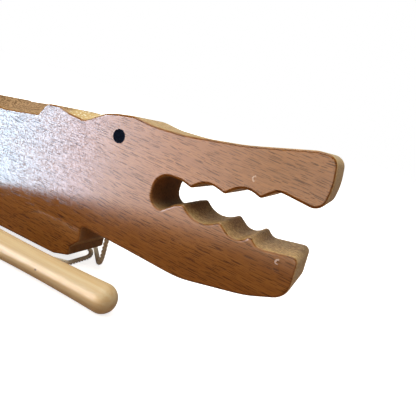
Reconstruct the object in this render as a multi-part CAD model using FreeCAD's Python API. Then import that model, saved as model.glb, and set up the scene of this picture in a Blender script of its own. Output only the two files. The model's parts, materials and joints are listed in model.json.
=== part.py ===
import FreeCAD, Part
import math
import os

from FreeCAD import Vector

# A wooden crocodile on four wheels, pulled by a cord with a turned handle.
# Millimetres. +X points to the snout, +Z up, and the board's mid plane is y = 0.
# The origin lies on the flat belly face, in the middle of its width and near the middle of its length.

os.makedirs("parts", exist_ok=True)

# Driving dimensions
board_thickness = 24.0
half_board = board_thickness / 2
edge_round = 1.0
corner_round = 1.15
belly_to_floor = 3.6
floor_z = -belly_to_floor

wheel_radius = 15.0
wheel_width = 8.0
wheel_round = 1.4
wheel_face_gap = 1.0
front_axle_x = 29.0
rear_axle_x = -53.0
axle_radius = 3.0
running_gap = 0.08
axle_z = wheel_radius - belly_to_floor
washer_radius = 6.5
washer_thickness = 0.8

# Back: a nearly straight ridge, with a row of scoops carved out of both of its edges.
# A scoop starts behind one crest with a steep wall and runs back to the next crest.
first_crest_x = 76.8
first_crest_z = 60.0
torso_fall = 0.115
tail_fall = 0.2
scute_pitch = 38.0
scute_count = 8
scoop_slope = 0.44
scoop_chamfer = 0.3
tail_scoop_shrink = 0.15

# Tail: three pieces on upright pins, each pin one scute behind the last
first_pin_x = -71.0
pin_radius = 3.0
cheek_reach = 12.0
shoulder_reach = 12.5
slot_reach = 13.0
tail_stop = math.radians(30)
tongue_gap = 0.3
tail_lift = 0.045
tail_end_x = -207.0
cheek_spare = 4.0
scoop_cover = 6.0
pin_foot_gap = 0.6
pin_head_gap = 2.5

# Head
eye_centre = (110.3, 56.7)
eye_radius = 2.75
eye_depth = 4.0
tooth_reserve = 2.4
tooth_round = 1.4

# Cord and handle
throat_hole = (108.8, 3.0, 18.0)
throat_roof_z = 16.5
plug_length = 8.0
cord_radius = 1.1
cord_hole_radius = 1.3
knot_radius = 2.3
coil_centre = (62.0, 41.5)
coil_outer = 17.0
coil_pitch = 2.5
coil_half_turns = 7
coil_end_radius = 7.0
coil_end_angle = math.radians(238)
handle_x = 98.8
handle_y = -28.0
handle_length = 75.6
handle_end_radius = 5.6
handle_waist_radius = 5.0
handle_hole_depth = 6.0
handle_z = floor_z + handle_end_radius
coil_approach_y = 31.5
chest_edge_y = -9.0
handle_rise_y = -20.0
crossing_start = (1.5, 7.1)
crossing_end = (20.0, 28.5)


def save(shape, node):
    """Writes one sub-part as parts/NODE.step."""
    shape.exportStep("parts/" + node + ".step")


def side(x, z):
    """A point on the board's right face, which every side outline is drawn on."""
    return Vector(x, -half_board, z)


def bend(before, corner, after, radius):
    """Start, middle and end of the tangent arc that rounds one corner of a line."""
    to_before = before - corner
    to_after = after - corner
    to_before.normalize()
    to_after.normalize()
    half_angle = to_before.getAngle(to_after) / 2
    reach = radius / math.tan(half_angle)
    middle = to_before + to_after
    middle.normalize()
    through = corner + middle * (radius / math.sin(half_angle) - radius)
    return corner + to_before * reach, through, corner + to_after * reach


def rounded_outline(corners):
    """Edges of a closed side outline, whose corners (x, z, radius) are joined by tangent arcs."""
    count = len(corners)
    points = [side(x, z) for x, z, radius in corners]
    bends = [bend(points[i - 1], points[i], points[(i + 1) % count], corners[i][2]) for i in range(count)]
    edges = []
    for i, (arrive, through, leave) in enumerate(bends):
        edges.append(Part.Arc(arrive, through, leave).toShape())
        edges.append(Part.makeLine(leave, bends[(i + 1) % count][0]))
    return edges


def rounded_line(points, radii):
    """Edges of an open line in space, whose inner corners are joined by tangent arcs."""
    edges = []
    leave = points[0]
    for before, corner, after, radius in zip(points, points[1:], points[2:], radii):
        arrive, through, next_leave = bend(before, corner, after, radius)
        edges.append(Part.makeLine(leave, arrive))
        edges.append(Part.Arc(arrive, through, next_leave).toShape())
        leave = next_leave
    edges.append(Part.makeLine(leave, points[-1]))
    return edges


def sawn_board(corners):
    """A side outline sawn through the board, with its edges on both faces rounded over."""
    face = Part.Face(Part.Wire(rounded_outline(corners)))
    board = face.extrude(Vector(0, board_thickness, 0))
    rims = [e for e in board.Edges if on_one_face(e)]
    return board.makeFillet(edge_round, rims)


def on_one_face(edge):
    ends = edge.BoundBox
    flat = ends.YLength < 1e-6
    return flat and abs(abs(ends.YMin) - half_board) < 1e-6


def cylinder(radius, start, direction, length):
    return Part.makeCylinder(radius, length, Vector(*start), Vector(*direction))


def ridge_z(x):
    """Height of the ridge along the back, behind the first crest."""
    torso_part = max(x, first_pin_x)
    tail_part = min(x - first_pin_x, 0.0)
    return first_crest_z - torso_fall * (first_crest_x - torso_part) + tail_fall * tail_part


def ridge_corner(x):
    return (x, ridge_z(x), corner_round)


def crest_x(number):
    """Place of one crest, counted back from the one behind the head."""
    return first_crest_x - scute_pitch * number


def nape_scoop():
    """Side outline of the scoop between the head and the first crest."""
    bottom = [(110.0, 66.8, 1.0), (103.8, 64.0, 8.0), (92.8, 57.7, 6.0), (84.8, 58.4, 7.0)]
    return bottom + [(first_crest_x, first_crest_z + 0.3, 0.5), (first_crest_x, 74.0, 0.5), (110.0, 74.0, 0.5)]


def back_scoop(number):
    """Side outline of the scoop behind one crest; scoops get shallower along the tail."""
    x = crest_x(number)
    z = ridge_z(x)
    next_z = ridge_z(crest_x(number + 1))
    size = 1 - tail_scoop_shrink * max(0, number - torso_top_scute())
    foot_z = z - 6.2 * size
    floor_z_end = next_z - 4.7 * size
    bottom = [(x, z + 0.3, 0.5), (x - 4.2, z - 1.2 * size, 2.5), (x - 7.4, foot_z, 1.8)]
    bottom += [(x - 27.0, floor_z_end, 11.0), (x - 32.0, floor_z_end + 0.4, 7.0)]
    return bottom + [(x - scute_pitch, next_z + 0.3, 0.5), (x - scute_pitch, z + 9, 0.5), (x, z + 9, 0.5)]


def carve(board):
    """Cuts the scoops into both edges of the back, and breaks their sharp lower edge."""
    outlines = [nape_scoop()] + [back_scoop(number) for number in range(scute_count - 1)]
    inward = half_board + 2
    tools = []
    for outline in outlines:
        face = Part.Face(Part.Wire(rounded_outline(outline)))
        face.translate(Vector(0, -1, -scoop_slope))
        tools.append(face.extrude(Vector(0, inward, inward * scoop_slope)))
        face.translate(Vector(0, 0, scoop_slope - scoop_chamfer - 1))
        tools.append(face.extrude(Vector(0, 3, 3)))
    tools = [tool for tool in tools if tool.BoundBox.intersect(board.BoundBox)]
    tools += [tool.mirror(Vector(0, 0, 0), Vector(0, 1, 0)) for tool in tools]
    return board.cut(tools)


def belly_z(x):
    """Height of the underside: flat below the torso, rising slowly below the tail."""
    return max(0.0, tail_lift * (first_pin_x - x))


def pin_x(number):
    return first_pin_x - scute_pitch * number


def torso_top_scute():
    """Number of the scute that the first tail pin stands below."""
    return round((first_crest_x - first_pin_x) / scute_pitch)


def lowest_back(number):
    """Height of the back at one tail pin, less the depth of a scoop."""
    return ridge_z(pin_x(number)) - scoop_cover


def tongue_span(number):
    """Lowest and highest z of the slot at one tail joint: the middle third of the height there."""
    roof = lowest_back(number)
    ground = belly_z(pin_x(number))
    third = (roof - ground) / 3
    return ground + third, roof - third


def scallop(tooth, bottom, next_tooth):
    """The corner whose rounding makes one round hollow between two neighbouring teeth."""
    corner_x = 2 * bottom[0] - (tooth[0] + next_tooth[0]) / 2
    corner_z = 2 * bottom[1] - (tooth[1] + next_tooth[1]) / 2
    corner = side(corner_x, corner_z)
    first_side = side(tooth[0], tooth[1]) - corner
    second_side = side(next_tooth[0], next_tooth[1]) - corner
    reach = min(first_side.Length, second_side.Length) - tooth_reserve
    return (corner_x, corner_z, reach * math.tan(first_side.getAngle(second_side) / 2))


def toothed_edge(teeth, bottoms):
    """Corners of a row of teeth with a round hollow between each two."""
    corners = [teeth[0]]
    for tooth, bottom, next_tooth in zip(teeth, bottoms, teeth[1:]):
        corners += [scallop(tooth, bottom, next_tooth), next_tooth]
    return corners


def head_corners():
    """Corners from the belly's front end, round both jaws, to the hollow behind the head."""
    chest = [(92.0, 0.0, 4.0), (100.0, 2.2, corner_round), (99.8, 6.0, 1.0), (103.7, 10.0, 2.0), (103.2, 16.6, 1.0)]
    chin = [(125.0, 15.5, 30.0), (150.0, 13.9, 40.0), (176.0, 18.8, 40.0), (190.0, 24.2, 7.0)]
    tip = [(189.2, 38.9, 2.4), (174.6, 36.7, 4.0)]
    lower_teeth = [(171.4, 39.7), (159.3, 40.2), (143.9, 41.2)]
    lower_bottoms = [(165.8, 37.5), (151.4, 37.9)]
    mouth_end = [(140.6, 39.9, 3.0), (135.8, 36.2, 1.6), (130.3, 36.2, 4.7), (130.3, 49.0, 6.2), (140.5, 49.0, 4.0)]
    upper_teeth = [(144.9, 47.7), (157.6, 50.0), (170.3, 52.9)]
    upper_bottoms = [(150.6, 50.5), (164.0, 53.3)]
    nose = [(175.4, 57.2, 4.5), (190.6, 55.2, 4.2), (191.8, 64.0, 25.0), (190.0, 74.0, 4.4), (183.0, 73.7, 8.0)]
    brow = [(160.0, 68.3, 100.0), (137.0, 65.1, 60.0), (124.0, 64.7, 30.0), (114.5, 65.8, 12.0), (106.8, 64.6, 8.0)]
    nape = [(94.0, 61.3, 10.0), (first_crest_x, first_crest_z, 40.0)]
    rounded = [[(x, z, tooth_round) for x, z in teeth] for teeth in (lower_teeth, upper_teeth)]
    corners = chest + chin + tip + toothed_edge(rounded[0], lower_bottoms)
    corners += mouth_end + toothed_edge(rounded[1], upper_bottoms)
    return corners + nose + brow + nape


def body_board():
    """Head and torso in one board."""
    rear_x = pin_x(0) - cheek_reach - cheek_spare
    corners = head_corners() + [ridge_corner(rear_x), (rear_x, 0.0, corner_round)]
    board = cut_cheeks(carve(sawn_board(corners)), 0)

    for x in (front_axle_x, rear_axle_x):
        start = (x, -half_board - 1, axle_z)
        board = board.cut(cylinder(axle_radius + running_gap, start, (0, 1, 0), board_thickness + 2))
    hole_x, hole_radius, hole_depth = throat_hole
    board = board.cut(cylinder(hole_radius, (hole_x, 0, throat_roof_z - 2), (0, 0, 1), hole_depth + 2))
    for shape in (eye("right"), eye("left")):
        board = board.cut(shape)
    return board


def eye(which):
    """A round dark plug, flush with the board's face."""
    sign = -1 if which == "right" else 1
    start = (eye_centre[0], sign * half_board, eye_centre[1])
    return cylinder(eye_radius, start, (0, -sign, 0), eye_depth)


def cheek_plan(x, low_z, height):
    """Plan of a cheek's end: round within the swing, then flat faces that stop it."""
    flat_x = x - cheek_reach * (1 - math.sin(tail_stop)) / math.cos(tail_stop)
    round_x = x - cheek_reach * math.cos(tail_stop)
    round_y = cheek_reach * math.sin(tail_stop)
    corners = [(x + slot_reach, -1), (flat_x, -1), (round_x, -1), (round_x, 1), (flat_x, 1), (x + slot_reach, 1)]
    widths = [half_board, half_board, round_y, round_y, half_board, half_board]
    points = [Vector(cx, sign * w, low_z) for (cx, sign), w in zip(corners, widths)]
    nose = Part.Arc(points[2], Vector(x - cheek_reach, 0, low_z), points[3]).toShape()
    straight = [(0, 1), (1, 2), (3, 4), (4, 5), (5, 0)]
    edges = [nose] + [Part.makeLine(points[a], points[b]) for a, b in straight]
    face = Part.Face(Part.Wire(Part.__sortEdges__(edges)))
    return face.extrude(Vector(0, 0, height))


def cut_cheeks(board, number):
    """Shapes the rear end of a board into two cheeks, with the slot and the pin's bore between them."""
    x = pin_x(number)
    bottom, tall = -10.0, 80.0
    beyond = cheek_reach + 2 * cheek_spare
    length, width = beyond + slot_reach, board_thickness + 2
    block = Part.makeBox(length, width, tall, Vector(x - beyond, -width / 2, bottom))
    board = board.cut(block.cut(cheek_plan(x, bottom, tall)))
    low, high = tongue_span(number)
    slot = Part.makeBox(length, width, high - low, Vector(x - beyond, -width / 2, low))
    board = board.cut(slot)
    return board.cut(tail_pin(number))


def tail_pin(number):
    """An upright pin, glued in both cheeks, that ends below the back and just inside the underside."""
    x = pin_x(number)
    low = belly_z(x) + pin_foot_gap
    roof = lowest_back(number) - pin_head_gap
    return cylinder(pin_radius, (x, 0, low), (0, 0, 1), roof - low)


def tongue(number):
    """The flat tongue at the front of a tail piece, bored for its pin."""
    x = pin_x(number)
    low, high = tongue_span(number)
    low += tongue_gap
    height = high - tongue_gap - low
    overlap = 2.0
    length = shoulder_reach + overlap
    bar = Part.makeBox(length, board_thickness, height, Vector(x - length, -half_board, low))
    plate = bar.fuse(cylinder(half_board, (x, 0, low), (0, 0, 1), height))
    return plate.cut(cylinder(pin_radius + running_gap, (x, 0, low - 1), (0, 0, 1), height + 2))


def tail_piece(number):
    """One of the two inner tail pieces: tongue in front, scute on top, cheeks behind."""
    front_x = pin_x(number) - shoulder_reach
    rear_x = pin_x(number + 1) - cheek_reach - cheek_spare
    corners = [ridge_corner(front_x), ridge_corner(rear_x)]
    corners += [(rear_x, belly_z(rear_x), corner_round), (front_x, belly_z(front_x), corner_round)]
    piece = cut_cheeks(carve(sawn_board(corners)), number + 1)
    return piece.fuse(tongue(number)).removeSplitter()


def tail_tip():
    """The last tail piece, which runs out to a rounded end."""
    number = 2
    front_x = pin_x(number) - shoulder_reach
    corners = [ridge_corner(front_x), (tail_end_x, ridge_z(tail_end_x), 3.5)]
    corners += [(tail_end_x, belly_z(tail_end_x), 3.0), (front_x, belly_z(front_x), corner_round)]
    return carve(sawn_board(corners)).fuse(tongue(number)).removeSplitter()


def wheel(x, sign):
    """A turned wheel: round-edged rim, dished outer face and a raised hub."""
    inner = half_board + wheel_face_gap
    outer = inner + wheel_width
    dish = 1.2
    hub_radius = 6.0
    rim_inner = wheel_radius - 3.5
    profile = [
        (axle_radius, inner), (wheel_radius, inner), (wheel_radius, outer), (rim_inner, outer),
        (rim_inner - dish, outer - dish), (hub_radius + dish, outer - dish), (hub_radius, outer),
        (axle_radius, outer),
    ]
    points = [Vector(x + r, sign * y, axle_z) for r, y in profile]
    face = Part.Face(Part.makePolygon(points + [points[0]]))
    turned = face.revolve(Vector(x, 0, axle_z), Vector(0, 1, 0), 360)
    rims = [e for e in turned.Edges if round_edge(e, wheel_radius)]
    return turned.makeFillet(wheel_round, rims)


def round_edge(edge, radius):
    return isinstance(edge.Curve, Part.Circle) and abs(edge.Curve.Radius - radius) < 1e-6


def axle(x):
    """A dowel through the board and both wheels, with softened ends."""
    proud = 1.0
    end_round = 0.9
    half = half_board + wheel_face_gap + wheel_width + proud
    dowel = cylinder(axle_radius, (x, -half, axle_z), (0, 1, 0), 2 * half)
    ends = [e for e in dowel.Edges if round_edge(e, axle_radius)]
    return dowel.makeFillet(end_round, ends)


def washers(x):
    """Two thin washers, one between each wheel and the board."""
    margin = (wheel_face_gap - washer_thickness) / 2
    rings = []
    for sign in (-1, 1):
        start = (x, sign * (half_board + margin), axle_z)
        disc = cylinder(washer_radius, start, (0, sign, 0), washer_thickness)
        rings.append(disc.cut(cylinder(axle_radius, start, (0, sign, 0), washer_thickness)))
    return Part.makeCompound(rings)


def cord_plug():
    """A short bored plug that keeps the knot inside the throat hole."""
    hole_x, hole_radius, hole_depth = throat_hole
    start = (hole_x, 0, throat_roof_z - 0.2)
    plug = cylinder(hole_radius, start, (0, 0, 1), plug_length)
    return plug.cut(cylinder(cord_hole_radius, start, (0, 0, 1), plug_length))


def half_turns():
    """Radius, centre x and start angle of each half circle of the coil, from the outside in."""
    turns = []
    for number in range(coil_half_turns):
        shift = coil_pitch / 2 * (number % 2)
        turns.append((coil_outer - coil_pitch / 2 * number, coil_centre[0] - shift, math.pi * (number % 2)))
    return turns


def coil_arc(radius, centre_x, start_angle, turned):
    """An arc of the cord that lies flat on the floor."""
    angles = (start_angle, start_angle + turned / 2, start_angle + turned)
    xy = [(centre_x + radius * math.cos(a), coil_centre[1] + radius * math.sin(a)) for a in angles]
    return Part.Arc(*[Vector(x, y, floor_z + cord_radius) for x, y in xy]).toShape()


def cord_path():
    """The cord's centre line: throat, floor, coil, over the coil, under the chest, handle."""
    hole_x = throat_hole[0]
    low = floor_z + cord_radius
    over = low + 2 * cord_radius + 0.35
    knot = Vector(hole_x, 0, throat_roof_z + plug_length + knot_radius)
    coil_start = Vector(coil_centre[0] + coil_outer, coil_centre[1], low)
    approach = Vector(coil_start.x, coil_approach_y, low)
    edges = rounded_line([knot, Vector(hole_x, 0, low), approach, coil_start], [7, 12])

    edges += [coil_arc(radius, x, angle, math.pi) for radius, x, angle in half_turns()]
    inner_x = half_turns()[-1][1] - half_turns()[-1][0] + coil_end_radius
    edges.append(coil_arc(coil_end_radius, inner_x, math.pi, coil_end_angle - math.pi))

    coil_end = edges[-1].lastVertex().Point
    away = Vector(-math.sin(coil_end_angle), math.cos(coil_end_angle), 0)
    to_handle_line = (handle_x - coil_end.x) / away.x
    lifts = [(0, 0), (crossing_start[0], 0), (crossing_start[1], over - low)]
    lifts += [(crossing_end[0], over - low), (crossing_end[1], 0), (to_handle_line, 0)]
    points = [coil_end + away * along + Vector(0, 0, lift) for along, lift in lifts]
    hole_end = handle_y + handle_waist_radius - handle_hole_depth + 0.5
    last_run = ((chest_edge_y, low), (handle_rise_y, handle_z), (hole_end, handle_z))
    points += [Vector(handle_x, y, z) for y, z in last_run]
    return Part.Wire(edges + rounded_line(points, [5, 5, 8, 8, 12, 8, 8]))


def pull_cord():
    """Cord with its stopper knot."""
    path = cord_path()
    start = path.Edges[0].firstVertex().Point
    ring = Part.Wire(Part.makeCircle(cord_radius, start, Vector(0, 0, -1)))
    tube = path.makePipeShell([ring], True, False)
    return tube.fuse(Part.makeSphere(knot_radius, start))


def pull_handle():
    """A slim turned toggle, waisted in the middle and round at both ends."""
    half = handle_length / 2
    ball = handle_end_radius
    shoulder = half - ball
    top = Part.BSplineCurve()
    waist = handle_waist_radius
    heights = [(-shoulder, ball), (-shoulder / 2, (ball + 3 * waist) / 4), (0, waist)]
    heights += [(-x, r) for x, r in reversed(heights[:2])]
    top.interpolate([Vector(x, 0, r) for x, r in heights])
    corner = ball * math.sqrt(0.5)
    ends = [Part.Arc(Vector(s * half, 0, 0), Vector(s * (shoulder + corner), 0, corner), Vector(s * shoulder, 0, ball))
            for s in (-1, 1)]
    axis = Part.makeLine(Vector(half, 0, 0), Vector(-half, 0, 0))
    edges = [end.toShape() for end in ends] + [top.toShape(), axis]
    face = Part.Face(Part.Wire(Part.__sortEdges__(edges)))
    turned = face.revolve(Vector(0, 0, 0), Vector(1, 0, 0), 360)
    turned.translate(Vector(handle_x, handle_y, handle_z))
    mouth = (handle_x, handle_y + waist + 1, handle_z)
    return turned.cut(cylinder(cord_hole_radius, mouth, (0, -1, 0), handle_hole_depth + 1))


save(body_board(), "body_board")
save(eye("right"), "eye_right")
save(eye("left"), "eye_left")
save(cord_plug(), "cord_plug")
save(pull_cord(), "pull_cord")
save(pull_handle(), "pull_handle")
for place, x in (("front", front_axle_x), ("rear", rear_axle_x)):
    save(axle(x), place + "_axle")
    save(washers(x), place + "_washers")
    save(wheel(x, -1), place + "_wheel_right")
    save(wheel(x, 1), place + "_wheel_left")
for number, place in enumerate(("front", "middle", "rear")):
    save(tail_pin(number), "tail_pin_" + place)
save(tail_piece(0), "tail_front")
save(tail_piece(1), "tail_middle")
save(tail_tip(), "tail_tip")
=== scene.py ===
import json
import math

import bpy
from mathutils import Matrix, Vector


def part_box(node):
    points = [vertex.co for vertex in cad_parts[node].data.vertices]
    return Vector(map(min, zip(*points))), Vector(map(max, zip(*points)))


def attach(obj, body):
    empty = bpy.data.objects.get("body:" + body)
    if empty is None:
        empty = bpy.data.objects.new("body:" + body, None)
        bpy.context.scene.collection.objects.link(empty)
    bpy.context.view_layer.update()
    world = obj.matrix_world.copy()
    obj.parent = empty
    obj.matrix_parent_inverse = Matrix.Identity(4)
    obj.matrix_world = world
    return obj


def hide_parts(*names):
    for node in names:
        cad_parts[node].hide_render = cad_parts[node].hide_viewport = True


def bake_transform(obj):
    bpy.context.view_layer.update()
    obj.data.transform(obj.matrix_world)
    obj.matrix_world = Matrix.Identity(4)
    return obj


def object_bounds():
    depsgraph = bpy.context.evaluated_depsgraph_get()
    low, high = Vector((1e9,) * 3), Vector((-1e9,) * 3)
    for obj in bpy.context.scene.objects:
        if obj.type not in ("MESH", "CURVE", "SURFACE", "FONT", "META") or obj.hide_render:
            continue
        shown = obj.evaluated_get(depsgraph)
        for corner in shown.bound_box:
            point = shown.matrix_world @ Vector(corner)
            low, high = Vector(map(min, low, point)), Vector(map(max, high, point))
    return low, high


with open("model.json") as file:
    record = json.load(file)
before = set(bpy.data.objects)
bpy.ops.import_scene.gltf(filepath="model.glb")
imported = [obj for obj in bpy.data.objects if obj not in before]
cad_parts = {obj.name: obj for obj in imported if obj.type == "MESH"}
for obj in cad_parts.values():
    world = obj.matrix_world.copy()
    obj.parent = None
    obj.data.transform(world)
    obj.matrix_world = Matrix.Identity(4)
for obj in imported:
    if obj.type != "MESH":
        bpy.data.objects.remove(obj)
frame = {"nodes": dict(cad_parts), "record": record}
cad_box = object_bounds()

MM = 0.001


# ---------------------------------------------------------------- node helpers

class Nodes:
    """A small builder for one material's node tree."""

    def __init__(self, name):
        self.material = bpy.data.materials.new(name)
        self.material.use_nodes = True
        self.tree = self.material.node_tree
        self.tree.nodes.clear()
        self.output = self.add("ShaderNodeOutputMaterial")
        self.shader = self.add("ShaderNodeBsdfPrincipled")
        self.link(self.shader.outputs[0], self.output.inputs["Surface"])

    def add(self, kind, **settings):
        node = self.tree.nodes.new(kind)
        for key, value in settings.items():
            setattr(node, key, value)
        return node

    def link(self, source, target):
        if isinstance(source, (int, float, tuple)):
            target.default_value = source
        else:
            self.tree.links.new(source, target)

    def position(self):
        """Place in the row frame at rest, in millimetres."""
        place = self.add("ShaderNodeTexCoord").outputs["Object"]
        return self.vector("SCALE", place, scale=1000.0)

    def vector(self, operation, a, b=None, scale=None):
        node = self.add("ShaderNodeVectorMath", operation=operation)
        self.link(a, node.inputs[0])
        if b is not None:
            self.link(b, node.inputs[1])
        if scale is not None:
            self.link(scale, node.inputs["Scale"])
        return node.outputs[1] if operation in ("DOT_PRODUCT", "LENGTH") else node.outputs[0]

    def stretch(self, place, sizes):
        """Divides x, y and z by the sizes, so that a pattern cell has those sizes."""
        return self.vector("DIVIDE", place, tuple(sizes))

    def math(self, operation, a, b=0.0, c=0.0):
        node = self.add("ShaderNodeMath", operation=operation)
        for i, value in enumerate((a, b, c)):
            self.link(value, node.inputs[i])
        return node.outputs[0]

    def product(self, first, *others):
        """All the values multiplied together."""
        for value in others:
            first = self.math("MULTIPLY", first, value)
        return first

    def noise(self, place, scale=1.0, detail=3.0, roughness=0.5, distortion=0.0):
        node = self.add("ShaderNodeTexNoise")
        self.link(place, node.inputs["Vector"])
        self.link(scale, node.inputs["Scale"])
        self.link(detail, node.inputs["Detail"])
        self.link(roughness, node.inputs["Roughness"])
        self.link(distortion, node.inputs["Distortion"])
        return node.outputs[0]

    def cells(self, place):
        node = self.add("ShaderNodeTexVoronoi")
        self.link(place, node.inputs["Vector"])
        self.link(1.0, node.inputs["Scale"])
        return node

    def ramp(self, value, low, high, at_low=0.0, at_high=1.0):
        """Goes smoothly from at_low to at_high as value goes from low to high."""
        node = self.add("ShaderNodeMapRange", interpolation_type="SMOOTHSTEP")
        for key, setting in (("Value", value), ("From Min", low), ("From Max", high),
                             ("To Min", at_low), ("To Max", at_high)):
            self.link(setting, node.inputs[key])
        return node.outputs[0]

    def mix(self, share, a, b, blend="MIX"):
        node = self.add("ShaderNodeMix", data_type="RGBA", blend_type=blend)
        self.link(share, node.inputs[0])
        self.link(a, node.inputs[6])
        self.link(b, node.inputs[7])
        return node.outputs[2]

    def bump(self, height, distance, strength=1.0):
        node = self.add("ShaderNodeBump")
        self.link(height, node.inputs["Height"])
        self.link(distance, node.inputs["Distance"])
        self.link(strength, node.inputs["Strength"])
        return node.outputs[0]

    def separate(self, vector):
        node = self.add("ShaderNodeSeparateXYZ")
        self.link(vector, node.inputs[0])
        return node.outputs

    def set(self, **inputs):
        for key, value in inputs.items():
            self.link(value, self.shader.inputs[key.replace("_", " ")])


def colour(red, green, blue):
    """Linear colour from display values between 0 and 255."""
    def linear(v):
        v /= 255
        return v / 12.92 if v <= 0.04045 else ((v + 0.055) / 1.055) ** 2.4
    return (linear(red), linear(green), linear(blue), 1.0)


# ---------------------------------------------------------------- materials

def dashes(n, place, cell, length, width):
    """Short thin dashes, one per cell, of varied length and strength; place and cell are in millimetres."""
    cells = n.cells(n.stretch(place, cell))
    variety = n.separate(cells.outputs["Color"])
    offset = n.separate(n.vector("SUBTRACT", n.stretch(place, cell), cells.outputs["Position"]))
    half_length = n.ramp(variety[0], 0.0, 1.0, 0.35 * length / cell[0], 0.6 * length / cell[0])
    half_width = n.ramp(variety[1], 0.0, 1.0, 0.3 * width / cell[2], 0.7 * width / cell[2])
    along = n.math("DIVIDE", n.math("ABSOLUTE", offset[0]), half_length)
    across = n.math("DIVIDE", n.math("ABSOLUTE", offset[2]), half_width)
    taper = n.math("ADD", across, n.math("POWER", along, 4.0))
    strength = n.ramp(variety[2], 0.1, 0.9, 0.25, 1.0)
    return n.math("MULTIPLY", n.ramp(taper, 0.5, 1.5, 1.0, 0.0), strength)


CHIP_RAGGEDNESS = 0.9


def chip(n, place, centre, radius, gap_side):
    """A small pale crescent, where the lacquer is chipped on the near face."""
    offset = n.separate(n.vector("SUBTRACT", place, (centre[0], 0.0, centre[1])))
    flat = n.math("SQRT", n.math("ADD", n.math("POWER", offset[0], 2.0), n.math("POWER", offset[2], 2.0)))
    ragged = n.math("MULTIPLY", n.noise(place, 2.2, 2.0), CHIP_RAGGEDNESS)
    ring = n.math("ABSOLUTE", n.math("SUBTRACT", n.math("ADD", flat, ragged), radius + CHIP_RAGGEDNESS / 2))
    line = n.ramp(ring, 0.1, 0.35, 0.85, 0.0)
    opening = n.ramp(n.math("MULTIPLY", offset[0], gap_side), -0.2 * radius, 0.6 * radius, 1.0, 0.0)
    near = n.ramp(offset[1], -11.0, -10.0, 1.0, 0.0)
    return n.product(line, opening, near)


GRAIN_TILT = 4.0
NECK_SCOOP_X = 93.0
MOUTH_END = (133.0, 0.0, 43.0)


def tilted(n, place, degrees):
    """The place turned about the board's width axis, so that the grain tilts by some degrees."""
    turn = n.add("ShaderNodeVectorRotate", rotation_type="Y_AXIS")
    n.link(place, turn.inputs["Vector"])
    n.link(math.radians(-degrees), turn.inputs["Angle"])
    return turn.outputs[0]


def facing(n):
    """How far the surface faces along the piece's x, y and z axes, each between 0 and 1."""
    local = n.add("ShaderNodeVectorTransform", vector_type="NORMAL")
    local.convert_from = "WORLD"
    local.convert_to = "OBJECT"
    n.link(n.add("ShaderNodeNewGeometry").outputs["Normal"], local.inputs[0])
    return [n.math("ABSOLUTE", value) for value in n.separate(local.outputs[0])]


class Grain:
    """The patterns that the tones and the lacquer of one beech material share."""

    def __init__(self, n):
        self.raw = n.position()
        self.x, self.y, self.z = n.separate(self.raw)
        self.place = tilted(n, self.raw, GRAIN_TILT)
        wander = n.noise(n.stretch(self.place, (70.0, 25.0, 22.0)), detail=2.0)
        self.shifted = n.vector("ADD", self.place, n.vector("SCALE", (0.0, 5.0, 7.0), scale=wander))
        self.streaks = n.noise(n.stretch(self.shifted, (40.0, 0.9, 0.7)), detail=4.0, roughness=0.65)
        self.pores = n.noise(n.stretch(self.place, (1.6, 0.16, 0.16)), detail=2.0, roughness=0.7)
        self.specks = n.noise(n.stretch(self.place, (1.3, 0.9, 0.9)), detail=3.0, roughness=0.7)
        self.torn = n.noise(n.stretch(self.place, (1.2, 0.75, 0.6)), detail=3.0, roughness=0.7)
        self.facing = facing(n)
        self.fleck = self.ray_flecks(n)
        # mouth: painted shade deep in the mouth, strongest at its inner end
        self.mouth = self.painted_mouth_shade(n)
        self.carved = self.carved_surface(n)

    def ray_flecks(self, n):
        small = dashes(n, self.shifted, (4.4, 1.5, 0.72), 3.5, 0.2)
        moved = n.vector("ADD", self.shifted, (2.3, 0.9, 0.47))
        return n.math("MAXIMUM", small, dashes(n, moved, (7.5, 2.3, 1.5), 5.8, 0.27))

    def painted_mouth_shade(self, n):
        """Painted shade: strong at the inner end of the mouth, and weaker towards the jaws' tips; none on the
        sides.
        """
        away = n.vector("LENGTH", n.stretch(n.vector("SUBTRACT", self.raw, MOUTH_END), (1.6, 9.0, 1.0)))
        shade = n.math("ADD", n.ramp(away, 5.0, 13.0, 0.42, 0.0), n.ramp(away, 10.0, 38.0, 0.3, 0.0))
        return n.product(shade, n.ramp(self.facing[1], 0.4, 0.8, 1.0, 0.0))

    def carved_surface(self, n):
        """1 on the sloping floors of the scoops, 0 on the sides, the edges and their rounding."""
        inside = n.ramp(n.math("ABSOLUTE", self.y), 11.0, 11.5, 1.0, 0.0)
        sloping = n.product(n.ramp(self.facing[1], 0.2, 0.32), n.ramp(self.facing[1], 0.55, 0.8, 1.0, 0.0))
        return n.product(sloping, inside)


def side_tone(n, grain):
    """Brown bands, streaks, ray flecks and pores of the sawn sides."""
    bands = n.noise(n.stretch(grain.shifted, (260.0, 5.0, 6.5)), detail=3.0, roughness=0.6)
    tone = n.mix(n.ramp(bands, 0.3, 0.7), colour(149, 93, 38), colour(169, 111, 50))
    tone = n.mix(n.ramp(grain.streaks, 0.4, 0.7, 0.0, 0.45), tone, colour(124, 74, 30))
    tone = n.mix(n.ramp(grain.x, 140.0, 190.0, 0.0, 0.17), tone, colour(84, 40, 8))
    tone = n.mix(n.product(grain.fleck, 0.85), tone, colour(56, 26, 11))
    return n.mix(n.ramp(grain.pores, 0.55, 0.75, 0.0, 0.3), tone, colour(120, 72, 42))


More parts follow.
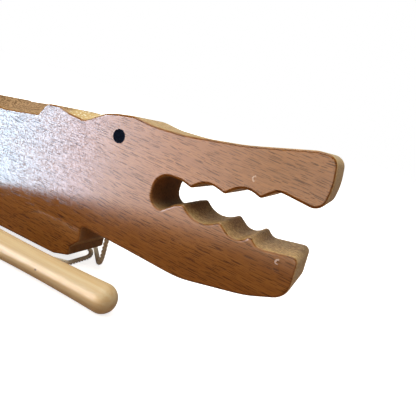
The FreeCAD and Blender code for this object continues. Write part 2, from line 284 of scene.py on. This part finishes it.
def with_edges(n, grain, tone):
    """Adds the pale sawn edges, lightened further as a painted highlight, filed rough between the teeth, and
    painted shade deep in the mouth.
    """
    pale = n.mix(n.ramp(grain.streaks, 0.35, 0.7), colour(246, 219, 162), colour(228, 188, 130))
    pale = n.mix(n.ramp(grain.specks, 0.5, 0.62, 0.0, 0.5), pale, colour(150, 102, 56))
    # Edges paler than the sides: partly the wood's own tone, and partly a painted highlight standing for the
    # bright light on the head top.
    tone = n.mix(n.ramp(grain.facing[1], 0.3, 0.8, 0.9, 0.0), tone, pale)
    off_side = n.ramp(grain.facing[1], 0.3, 0.7, 1.0, 0.0)
    below_brow = n.ramp(grain.z, 50.0, 56.0, 1.0, 0.0)
    filed = n.product(n.ramp(grain.x, 134.0, 142.0), off_side, below_brow, 0.55)
    filed_tone = n.mix(n.ramp(grain.torn, 0.42, 0.6), colour(136, 86, 36), colour(240, 205, 136))
    # Painted shade deep in the mouth: the tone darkens to a near-black brown towards the mouth's inner end.
    return n.mix(grain.mouth, n.mix(filed, tone, filed_tone), colour(74, 36, 12))


def with_scoops(n, grain, tone):
    """Adds the torn grain in the back's scoops; the one in the neck gets painted light: a pale lit tone with
    small bright painted glints.
    """
    torn_grain_and_neck_light = n.mix(n.ramp(grain.torn, 0.44, 0.58), colour(184, 150, 114), colour(96, 68, 50))
    # Painted light on the neck scoop: a pale lit tone, with small white painted glints standing for specular
    # highlights.
    painted_glints = n.cells(n.stretch(grain.place, (1.5, 1.2, 1.2))).outputs["Distance"]
    neck_painted_light = n.mix(n.ramp(painted_glints, 0.25, 0.4), colour(255, 250, 226), colour(216, 190, 136))
    from_neck = n.math("ABSOLUTE", n.math("SUBTRACT", grain.x, NECK_SCOOP_X))
    torn_grain_and_neck_light = n.mix(n.ramp(from_neck, 8.0, 11.0, 1.0, 0.0), torn_grain_and_neck_light, neck_painted_light)
    return n.mix(n.product(grain.carved, 0.85), tone, torn_grain_and_neck_light)


def with_ends(n, grain, tone):
    """Adds the end grain, paler at the jaws' tips; further back it is darker brown, partly its own tone and
    partly painted shade in the throat notch.
    """
    pale = n.mix(n.ramp(grain.specks, 0.35, 0.65), colour(192, 154, 106), colour(232, 206, 162))
    # Darker brown end grain back from the jaws: partly the wood's own tone, partly painted shade for the
    # throat notch.
    end_brown_and_notch_shade = n.mix(n.ramp(grain.specks, 0.35, 0.65), colour(120, 76, 42), colour(150, 102, 62))
    end_tone = n.mix(n.ramp(grain.x, 150.0, 180.0), end_brown_and_notch_shade, pale)
    return n.mix(n.ramp(grain.facing[0], 0.45, 0.9, 0.0, 0.85), tone, end_tone)


def wood_relief(n, grain):
    """Height of the raised and sunken grain, in arbitrary units."""
    relief = n.math("ADD", n.product(grain.pores, 0.6), n.product(grain.streaks, 0.8))
    relief = n.math("SUBTRACT", relief, n.product(grain.fleck, 0.5))
    return n.math("ADD", relief, n.product(grain.carved, grain.torn, 5.0))


def lacquer_gloss(n, grain, peel):
    """Weight of the lacquer: gritty on the torso, weak on raw, torn or dark places, in the painted shade of
    the mouth and along the tail.
    """
    grit = n.separate(n.cells(n.stretch(grain.place, (0.46, 0.46, 0.42))).outputs["Color"])[0]
    gloss = n.math("ADD", 0.62, n.product(peel, n.ramp(grit, 0.1, 0.9, -0.31, 0.23)))
    return n.product(
        gloss, n.ramp(grain.carved, 0.0, 1.0, 1.0, 0.15), n.ramp(grain.mouth, 0.0, 0.5, 1.0, 0.1),
        n.ramp(grain.fleck, 0.0, 1.0, 1.0, 0.6), n.ramp(grain.facing[0], 0.4, 0.8, 1.0, 0.2),
        n.ramp(grain.x, -80.0, 20.0, 0.4, 1.0))


def beech(name="beech", chips=()):
    """Satin-lacquered steamed beech, its grain nearly along X."""
    n = Nodes(name)
    grain = Grain(n)
    tone = side_tone(n, grain)
    for add in (with_edges, with_scoops, with_ends):
        tone = add(n, grain, tone)
    for centre, radius, gap_side in chips:
        tone = n.mix(chip(n, grain.raw, centre, radius, gap_side), tone, colour(232, 212, 200))
    relief = wood_relief(n, grain)
    peel = n.ramp(grain.x, 75.0, 125.0, 1.0, 0.12)
    n.set(Base_Color=tone, Roughness=0.6, IOR=1.5, Specular_IOR_Level=0.03,
          Coat_Weight=lacquer_gloss(n, grain, peel), Coat_Roughness=n.ramp(peel, 0.1, 1.0, 0.12, 0.05),
          Coat_IOR=1.6, Normal=n.bump(relief, 0.00005, 0.6), Coat_Normal=n.bump(relief, 0.000004, 1.0))
    return n.material


def pale_wood(name="pale_wood", knots=()):
    """Lacquered pale hardwood with a faint straight grain along X and a few pin knots."""
    n = Nodes(name)
    place = n.position()
    streaks = n.noise(n.stretch(place, (60.0, 1.6, 1.6)), detail=4.0, roughness=0.6)
    tone = n.mix(n.ramp(streaks, 0.35, 0.7), colour(228, 206, 162), colour(220, 190, 140))
    for centre, radius, depth in knots:
        offset = n.vector("LENGTH", n.stretch(n.vector("SUBTRACT", place, centre), (1.4, 1.0, 1.0)))
        tone = n.mix(n.ramp(offset, 0.5 * radius, radius, depth, 0.0), tone, colour(96, 62, 40))
    n.set(Base_Color=tone, Roughness=0.5, Coat_Weight=0.3, Coat_Roughness=0.22,
          Normal=n.bump(streaks, 0.00004, 0.4))
    return n.material


def eye_stain():
    """Near-black stain with a little of the grain showing."""
    n = Nodes("eye_black")
    grain = n.noise(n.stretch(n.position(), (1.2, 0.4, 0.4)), detail=3.0)
    n.set(Base_Color=n.mix(n.ramp(grain, 0.45, 0.7), colour(8, 18, 38), colour(24, 38, 60)),
          Roughness=0.9, Specular_IOR_Level=0.05, Normal=n.bump(grain, 0.00004, 0.5))
    return n.material


def cotton():
    """Natural cotton cord: fine fibres and small dirt variation."""
    n = Nodes("cotton")
    place = n.position()
    fibres = n.noise(n.stretch(place, (0.35, 0.35, 0.35)), detail=4.0, roughness=0.7)
    tone = n.mix(n.ramp(fibres, 0.3, 0.7), colour(206, 192, 164), colour(236, 228, 208))
    n.set(Base_Color=tone, Roughness=0.9, Sheen_Weight=0.4, Sheen_Roughness=0.5,
          Normal=n.bump(fibres, 0.0001, 0.6))
    return n.material


def felt():
    """Pressed felt."""
    n = Nodes("felt")
    fuzz = n.noise(n.position(), 2.5, 5.0, 0.8)
    n.set(Base_Color=n.mix(fuzz, colour(140, 122, 100), colour(182, 166, 142)),
          Roughness=0.95, Sheen_Weight=0.6, Normal=n.bump(fuzz, 0.0002, 0.8))
    return n.material


SHARP_EDGE = math.radians(32)


def dress(node, material):
    """Gives a CAD node one material, and smooth shading between its real edges."""
    piece = frame["nodes"][node]
    piece.data.materials.clear()
    piece.data.materials.append(material)
    for polygon in piece.data.polygons:
        polygon.use_smooth = True
    piece.data.set_sharp_from_angle(angle=SHARP_EDGE)


SLOTS = {row["node"]: row["material_slot"] for row in frame["record"]["subparts"]}
LOOKS = {
    "beech": beech(), "pale_wood": pale_wood(), "eye_black": eye_stain(), "cord": cotton(), "felt": felt(),
}
# Of each chip: x and z of its centre, its radius, and whether its gap is on the +X or the -X side
CHIPS = (((166.4, 58.7), 0.8, 1), ((182.9, 34.9), 0.8, 1))
for node, slot in SLOTS.items():
    dress(node, LOOKS[slot])
dress("body_board", beech("beech_board", CHIPS))


# ---------------------------------------------------------------- meshes

def mesh_piece(name, vertices, faces, material):
    """A smooth-shaded mesh object; vertices are in millimetres in the row frame."""
    mesh = bpy.data.meshes.new(name)
    mesh.from_pydata([Vector(v) * MM for v in vertices], [], faces)
    mesh.materials.append(material)
    for polygon in mesh.polygons:
        polygon.use_smooth = True
    piece = bpy.data.objects.new(name, mesh)
    bpy.context.scene.collection.objects.link(piece)
    return piece


def skin(rings, first=0):
    """Faces over a row of equal rings, closed at both ends; first is the index of the first vertex."""
    sides = len(rings[0])
    faces = []
    for i in range(len(rings) - 1):
        for j in range(sides):
            a = first + i * sides + j
            b = first + i * sides + (j + 1) % sides
            faces.append((a, b, b + sides, a + sides))
    faces.append(tuple(first + j for j in reversed(range(sides))))
    last = first + (len(rings) - 1) * sides
    faces.append(tuple(last + j for j in range(sides)))
    return faces


HANDLE_END_RADIUS = 5.6
HANDLE_WAIST_RADIUS = 5.0
HANDLE_END_STEPS = 16
HANDLE_WAIST_STEPS = 60
HANDLE_SIDES = 64
# Of each pin knot in the handle: its centre, its radius, and how dark it is
HANDLE_KNOTS = (((103.5, -33.0, 2.4), 0.5, 0.9), ((74.0, -33.0, 3.0), 0.6, 0.35))


def turned_handle():
    """The slim toggle: waisted in the middle and round at both ends."""
    low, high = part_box("pull_handle")
    cx, cy, cz = [(a + b) / 2 / MM for a, b in zip(low, high)]
    ball = HANDLE_END_RADIUS
    waist = HANDLE_WAIST_RADIUS
    shoulder = (high.x - low.x) / 2 / MM - ball
    end = []
    for step in range(1, HANDLE_END_STEPS + 1):
        angle = math.pi / 2 * step / HANDLE_END_STEPS
        end.append((-shoulder - ball * math.cos(angle), ball * math.sin(angle)))
    shaft = []
    for step in range(1, HANDLE_WAIST_STEPS):
        share = -1 + 2 * step / HANDLE_WAIST_STEPS
        shaft.append((shoulder * share, waist + (ball - waist) * share ** 2))
    outline = end + shaft + [(-x, r) for x, r in reversed(end)]
    turns = [2 * math.pi * k / HANDLE_SIDES for k in range(HANDLE_SIDES)]
    rings = [[(cx + x, cy + r * math.cos(t), cz + r * math.sin(t)) for t in turns] for x, r in outline]
    wood = pale_wood("handle_wood", HANDLE_KNOTS)
    handle = mesh_piece("turned_handle", sum(rings, []), skin(rings), wood)
    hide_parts("pull_handle")
    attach(handle, "handle")


# ---------------------------------------------------------------- cord

CORD_RADIUS = 1.1
FLOOR_Z = cad_box[0][2] / MM
LOW = FLOOR_Z + CORD_RADIUS
CROSSING_GAP = 0.35
CROSSING_LIFT = 2 * CORD_RADIUS + CROSSING_GAP
COIL_CENTRE = (62.0, 41.5)
COIL_PITCH = 2.5
COIL_OUTER = 17.0
COIL_HALF_TURNS = 7
COIL_APPROACH_Y = 31.5
COIL_END = (7.0, math.radians(238))
HANDLE_X = 98.8
THROAT_X = 108.8
CORD_STEP = 0.6
LAST_RUN_X = 82.0
STRAND_RADIUS = 0.6
STRAND_OFFSET = 0.52
STRAND_SIDES = 8
LAY_LENGTH = 5.5
BEND_STEPS = 12
COIL_STEPS = 24
THROAT_TOP = 24.0
CHEST_EDGE_Y = -9.0
HANDLE_RISE_Y = -20.0
HOLE_END_Y = -26.0
# Along the cord's way out of the coil: it starts to climb, is up, starts to sink, is down
CROSSING = (1.5, 7.1, 20.0, 28.5)
# Bend radii, corner by corner: from the throat to the coil, and from the coil to the handle
THROAT_BENDS = (7, 12)
RUN_BENDS = (5, 5, 8, 8, 12, 8, 8)


def rounded_line(points, radii):
    """Points along an open line whose inner corners are rounded by tangent arcs."""
    line = [points[0]]
    for before, corner, after, radius in zip(points, points[1:], points[2:], radii):
        to_before = (before - corner).normalized()
        to_after = (after - corner).normalized()
        half_angle = to_before.angle(to_after) / 2
        middle = corner + (to_before + to_after).normalized() * radius / math.sin(half_angle)
        arm = corner + to_before * radius / math.tan(half_angle) - middle
        axis = to_before.cross(to_after)
        sweep = math.pi - 2 * half_angle
        for step in range(BEND_STEPS + 1):
            turn = Matrix.Rotation(-sweep * step / BEND_STEPS, 3, axis)
            line.append(middle + turn @ arm)
    return line + [points[-1]]


def coil_points():
    """Half circles of falling radius about two centres by turns, then a tighter end."""
    points = []
    step_in = COIL_PITCH / 2
    arcs = [(COIL_OUTER - step_in * k, step_in * (k % 2), math.pi * (k % 2), math.pi)
            for k in range(COIL_HALF_TURNS)]
    end_radius, end_angle = COIL_END
    arcs.append((end_radius, arcs[-1][0] - end_radius, math.pi, end_angle - math.pi))
    for radius, shift, start, turned in arcs:
        for step in range(COIL_STEPS):
            angle = start + turned * step / COIL_STEPS
            x = COIL_CENTRE[0] - shift + radius * math.cos(angle)
            points.append(Vector((x, COIL_CENTRE[1] + radius * math.sin(angle), LOW)))
    radius, shift = arcs[-1][:2]
    x = COIL_CENTRE[0] - shift + radius * math.cos(end_angle)
    return points, Vector((x, COIL_CENTRE[1] + radius * math.sin(end_angle), LOW))


def cord_line():
    """The cord's centre line from the throat to the handle."""
    coil_x = COIL_CENTRE[0] + COIL_OUTER
    throat = [Vector((THROAT_X, 0, THROAT_TOP)), Vector((THROAT_X, 0, LOW)),
              Vector((coil_x, COIL_APPROACH_Y, LOW)), Vector((coil_x, COIL_CENTRE[1], LOW))]
    coil, coil_end = coil_points()
    away = Vector((-math.sin(COIL_END[1]), math.cos(COIL_END[1]), 0))
    reach = (HANDLE_X - coil_end.x) / away.x
    lifts = [(0, 0)] + list(zip(CROSSING, (0, CROSSING_LIFT, CROSSING_LIFT, 0))) + [(reach, 0)]
    run = [coil_end + away * along + Vector((0, 0, lift)) for along, lift in lifts]
    handle_z = FLOOR_Z + HANDLE_END_RADIUS
    run += [Vector((HANDLE_X, y, z)) for y, z in
            ((CHEST_EDGE_Y, LOW), (HANDLE_RISE_Y, handle_z), (HOLE_END_Y, handle_z))]
    return rounded_line(throat, THROAT_BENDS)[:-1] + coil + rounded_line(run, RUN_BENDS)


def resampled(line, step):
    """Points spaced evenly along a line."""
    points = [line[0]]
    travelled = 0.0
    for a, b in zip(line, line[1:]):
        length = (b - a).length
        place = step - travelled
        while place <= length and length > 0:
            points.append(a.lerp(b, place / length))
            place += step
        travelled = (travelled + length) % step
    return points


def frames_along(points):
    """Each point with its two cross directions, carried along without twist."""
    frames = []
    across = Vector((1, 0, 0))
    for i, point in enumerate(points):
        ahead = points[min(i + 1, len(points) - 1)] - points[max(i - 1, 0)]
        ahead.normalize()
        across = (across - ahead * across.dot(ahead)).normalized()
        frames.append((point, across.copy(), ahead.cross(across)))
    return frames


def strands(name, frames, first):
    """Three strands laid round the centre line; first is the index of the first frame, for the twist."""
    vertices = []
    faces = []
    turns = [2 * math.pi * k / STRAND_SIDES for k in range(STRAND_SIDES)]
    for strand in range(3):
        rings = []
        for i, (point, u, v) in enumerate(frames):
            twist = 2 * math.pi * (strand / 3 + (first + i) * CORD_STEP / LAY_LENGTH)
            centre = point + (u * math.cos(twist) + v * math.sin(twist)) * STRAND_OFFSET
            rings.append([centre + (u * math.cos(t) + v * math.sin(t)) * STRAND_RADIUS for t in turns])
        faces += skin(rings, len(vertices))
        vertices += sum(rings, [])
    return mesh_piece(name, vertices, faces, LOOKS["cord"])


def cord():
    """The twisted cord: a long run on the torso, and a last run that stretches to the handle."""
    frames = frames_along(resampled(cord_line(), CORD_STEP))
    last_run = max(i for i, (point, u, v) in enumerate(frames) if point.x < LAST_RUN_X)
    long_run = strands("cord_long_run", frames[:last_run + 1], 0)
    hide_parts("pull_cord")
    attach(long_run, "torso")
    pulled = strands("cord_pulled_run", frames[last_run:], last_run)
    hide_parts("pull_cord")
    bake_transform(pulled)
    pulled.visible_glossy = False


turned_handle()
cord()


# ---------------------------------------------------------------- camera

def photo_camera():
    """Close to the near side of the head, looking back and down, rolled so that the snout points down."""
    azimuth, elevation, roll = (math.radians(v) for v in (20.17, 12.22, 17.15))
    near_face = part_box("body_board")[0].y
    chest = Vector((0.100, near_face, 0.0022))
    from_chest = Vector((0.1031, -0.135, 0.0723))
    forward = Vector((-math.sin(azimuth) * math.cos(elevation), math.cos(azimuth) * math.cos(elevation),
                      -math.sin(elevation)))
    level = Vector((math.cos(azimuth), math.sin(azimuth), 0.0))
    upright = level.cross(forward)
    right = level * math.cos(roll) + upright * math.sin(roll)
    up = upright * math.cos(roll) - level * math.sin(roll)
    camera = bpy.data.objects.new("camera", bpy.data.cameras.new("camera"))
    bpy.context.scene.collection.objects.link(camera)
    camera.data.sensor_width = 36.0
    camera.data.lens = 36.0
    camera.data.clip_start = 0.005
    turn = Matrix((right, up, -forward)).transposed().to_4x4()
    camera.matrix_world = Matrix.Translation(chest + from_chest) @ turn
    bpy.context.scene.camera = camera


# ---------------------------------------------------------------- stage

def floor():
    """A wide pale floor under the wheels. It stays pale in view and gives a warm, weaker bounce."""
    n = Nodes("floor_white")
    rays = n.add("ShaderNodeLightPath")
    n.set(Base_Color=n.mix(rays.outputs["Is Camera Ray"], (0.34, 0.21, 0.12, 1.0), (0.9, 0.9, 0.9, 1.0)),
          Roughness=1.0, Specular_IOR_Level=0.0, Emission_Color=(1.0, 1.0, 1.0, 1.0),
          Emission_Strength=n.math("MULTIPLY", rays.outputs["Is Camera Ray"], 0.78))
    bpy.ops.mesh.primitive_plane_add(size=30.0, location=(0, 0, cad_box[0][2]))
    plane = bpy.context.object
    plane.name = "floor"
    plane.data.materials.append(n.material)
    plane.visible_glossy = False


def area_light(name, place, target, size, power, tint):
    lamp = bpy.data.lights.new(name, "AREA")
    lamp.shape = "RECTANGLE"
    lamp.size, lamp.size_y = size
    lamp.energy = power
    lamp.color = tint
    item = bpy.data.objects.new(name, lamp)
    bpy.context.scene.collection.objects.link(item)
    item.location = place
    item.rotation_euler = (Vector(target) - Vector(place)).to_track_quat("-Z", "Y").to_euler()
    item.visible_camera = False
    return item


# Azimuths in degrees, growing towards the tail, and the far window's glow there: warm and weaker
# towards the snout, cool and strong towards the tail, and nothing at both ends
WINDOW_GLOW = (
    (-35, (0.0, 0.0, 0.0)), (0, (5.9, 4.6, 3.5)), (14, (6.7, 5.0, 3.6)),
    (27, (10.0, 8.0, 7.2)), (34, (12.4, 11.2, 11.4)), (39, (15.6, 15.6, 18.2)),
    (48, (15.6, 21.4, 26.5)), (50, (15.6, 21.4, 26.5)), (53, (0.0, 0.0, 0.0)),
)


def glow_at(azimuth):
    """The far window's red, green and blue glow at one azimuth."""
    for (a, low), (b, high) in zip(WINDOW_GLOW, WINDOW_GLOW[1:]):
        if azimuth <= b:
            break
    return Vector(low).lerp(Vector(high), (azimuth - a) / (b - a))


def window_reflection():
    """A far window that shows only as shine, standing where the near face mirrors it to the camera."""
    distance = 1.6
    camera = bpy.context.scene.camera.location.copy()
    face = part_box("body_board")[0].y
    seen_from = Vector((camera.x, 2 * face - camera.y, camera.z))
    lower, upper = math.radians(-15.5), math.radians(14)
    columns = range(WINDOW_GLOW[0][0], WINDOW_GLOW[-1][0] + 1)
    vertices = []
    for azimuth in columns:
        turn = math.radians(azimuth)
        for elevation in (lower, upper):
            ray = Vector((-math.sin(turn), -math.cos(turn), math.tan(elevation)))
            vertices.append(seen_from + ray * distance)
    faces = [(2 * k, 2 * k + 1, 2 * k + 3, 2 * k + 2) for k in range(len(columns) - 1)]
    mesh = bpy.data.meshes.new("window_reflection")
    mesh.from_pydata(vertices, [], faces)
    glow = mesh.attributes.new("glow", "FLOAT_VECTOR", "POINT")
    for k, azimuth in enumerate(columns):
        glow.data[2 * k].vector = glow_at(azimuth)
        glow.data[2 * k + 1].vector = glow_at(azimuth)
    n = Nodes("window_glow")
    tint = n.add("ShaderNodeAttribute", attribute_name="glow").outputs["Vector"]
    n.set(Base_Color=(0.0, 0.0, 0.0, 1.0), Specular_IOR_Level=0.0, Emission_Color=tint, Emission_Strength=1.0)
    mesh.materials.append(n.material)
    window = bpy.data.objects.new("window_reflection", mesh)
    bpy.context.scene.collection.objects.link(window)
    window.visible_camera = False
    window.visible_diffuse = False
    window.visible_shadow = False


def world_light():
    """White where the camera looks past the floor, and a weaker soft light on the object.

    Shiny surfaces see a dark room in front of the toy and a lighter one behind it.
    """
    world = bpy.data.worlds.new("world")
    bpy.context.scene.world = world
    world.use_nodes = True
    tree = world.node_tree

    def ranged(value, low, high, at_low, at_high):
        node = tree.nodes.new("ShaderNodeMapRange")
        for key, setting in (("From Min", low), ("From Max", high)):
            node.inputs[key].default_value = setting
        for key, setting in (("Value", value), ("To Min", at_low), ("To Max", at_high)):
            if isinstance(setting, float):
                node.inputs[key].default_value = setting
            else:
                tree.links.new(setting, node.inputs[key])
        return node.outputs["Result"]

    direction = tree.nodes.new("ShaderNodeSeparateXYZ")
    tree.links.new(tree.nodes.new("ShaderNodeTexCoord").outputs["Generated"], direction.inputs[0])
    rays = tree.nodes.new("ShaderNodeLightPath").outputs
    room = ranged(direction.outputs["Y"], -0.2, 0.5, 0.04, 0.25)
    unseen = ranged(rays["Is Glossy Ray"], 0.0, 1.0, 0.25, room)
    strength = ranged(rays["Is Camera Ray"], 0.0, 1.0, unseen, 1.0)
    background = tree.nodes["Background"]
    background.inputs["Color"].default_value = (1.0, 1.0, 1.0, 1.0)
    tree.links.new(strength, background.inputs["Strength"])


def lights():
    world_light()
    window = area_light("window", (-0.35, -0.75, 0.5), (0.05, 0, 0.03), (0.6, 0.5), 1.1, (1.0, 0.86, 0.66))
    window.visible_glossy = False
    area_light("sky_panel", (0.0, -0.3, 1.0), (0.05, 0, 0.03), (0.9, 0.9), 9.0, (1.0, 0.95, 0.85))
    back_fill = area_light("back_fill", (-0.8, 0.7, 0.45), (0.0, 0, 0.03), (0.9, 0.6), 9.0, (1.0, 0.95, 0.86))
    back_fill.visible_glossy = False


floor()
photo_camera()
lights()
window_reflection()
bpy.context.scene.view_settings.view_transform = "Standard"
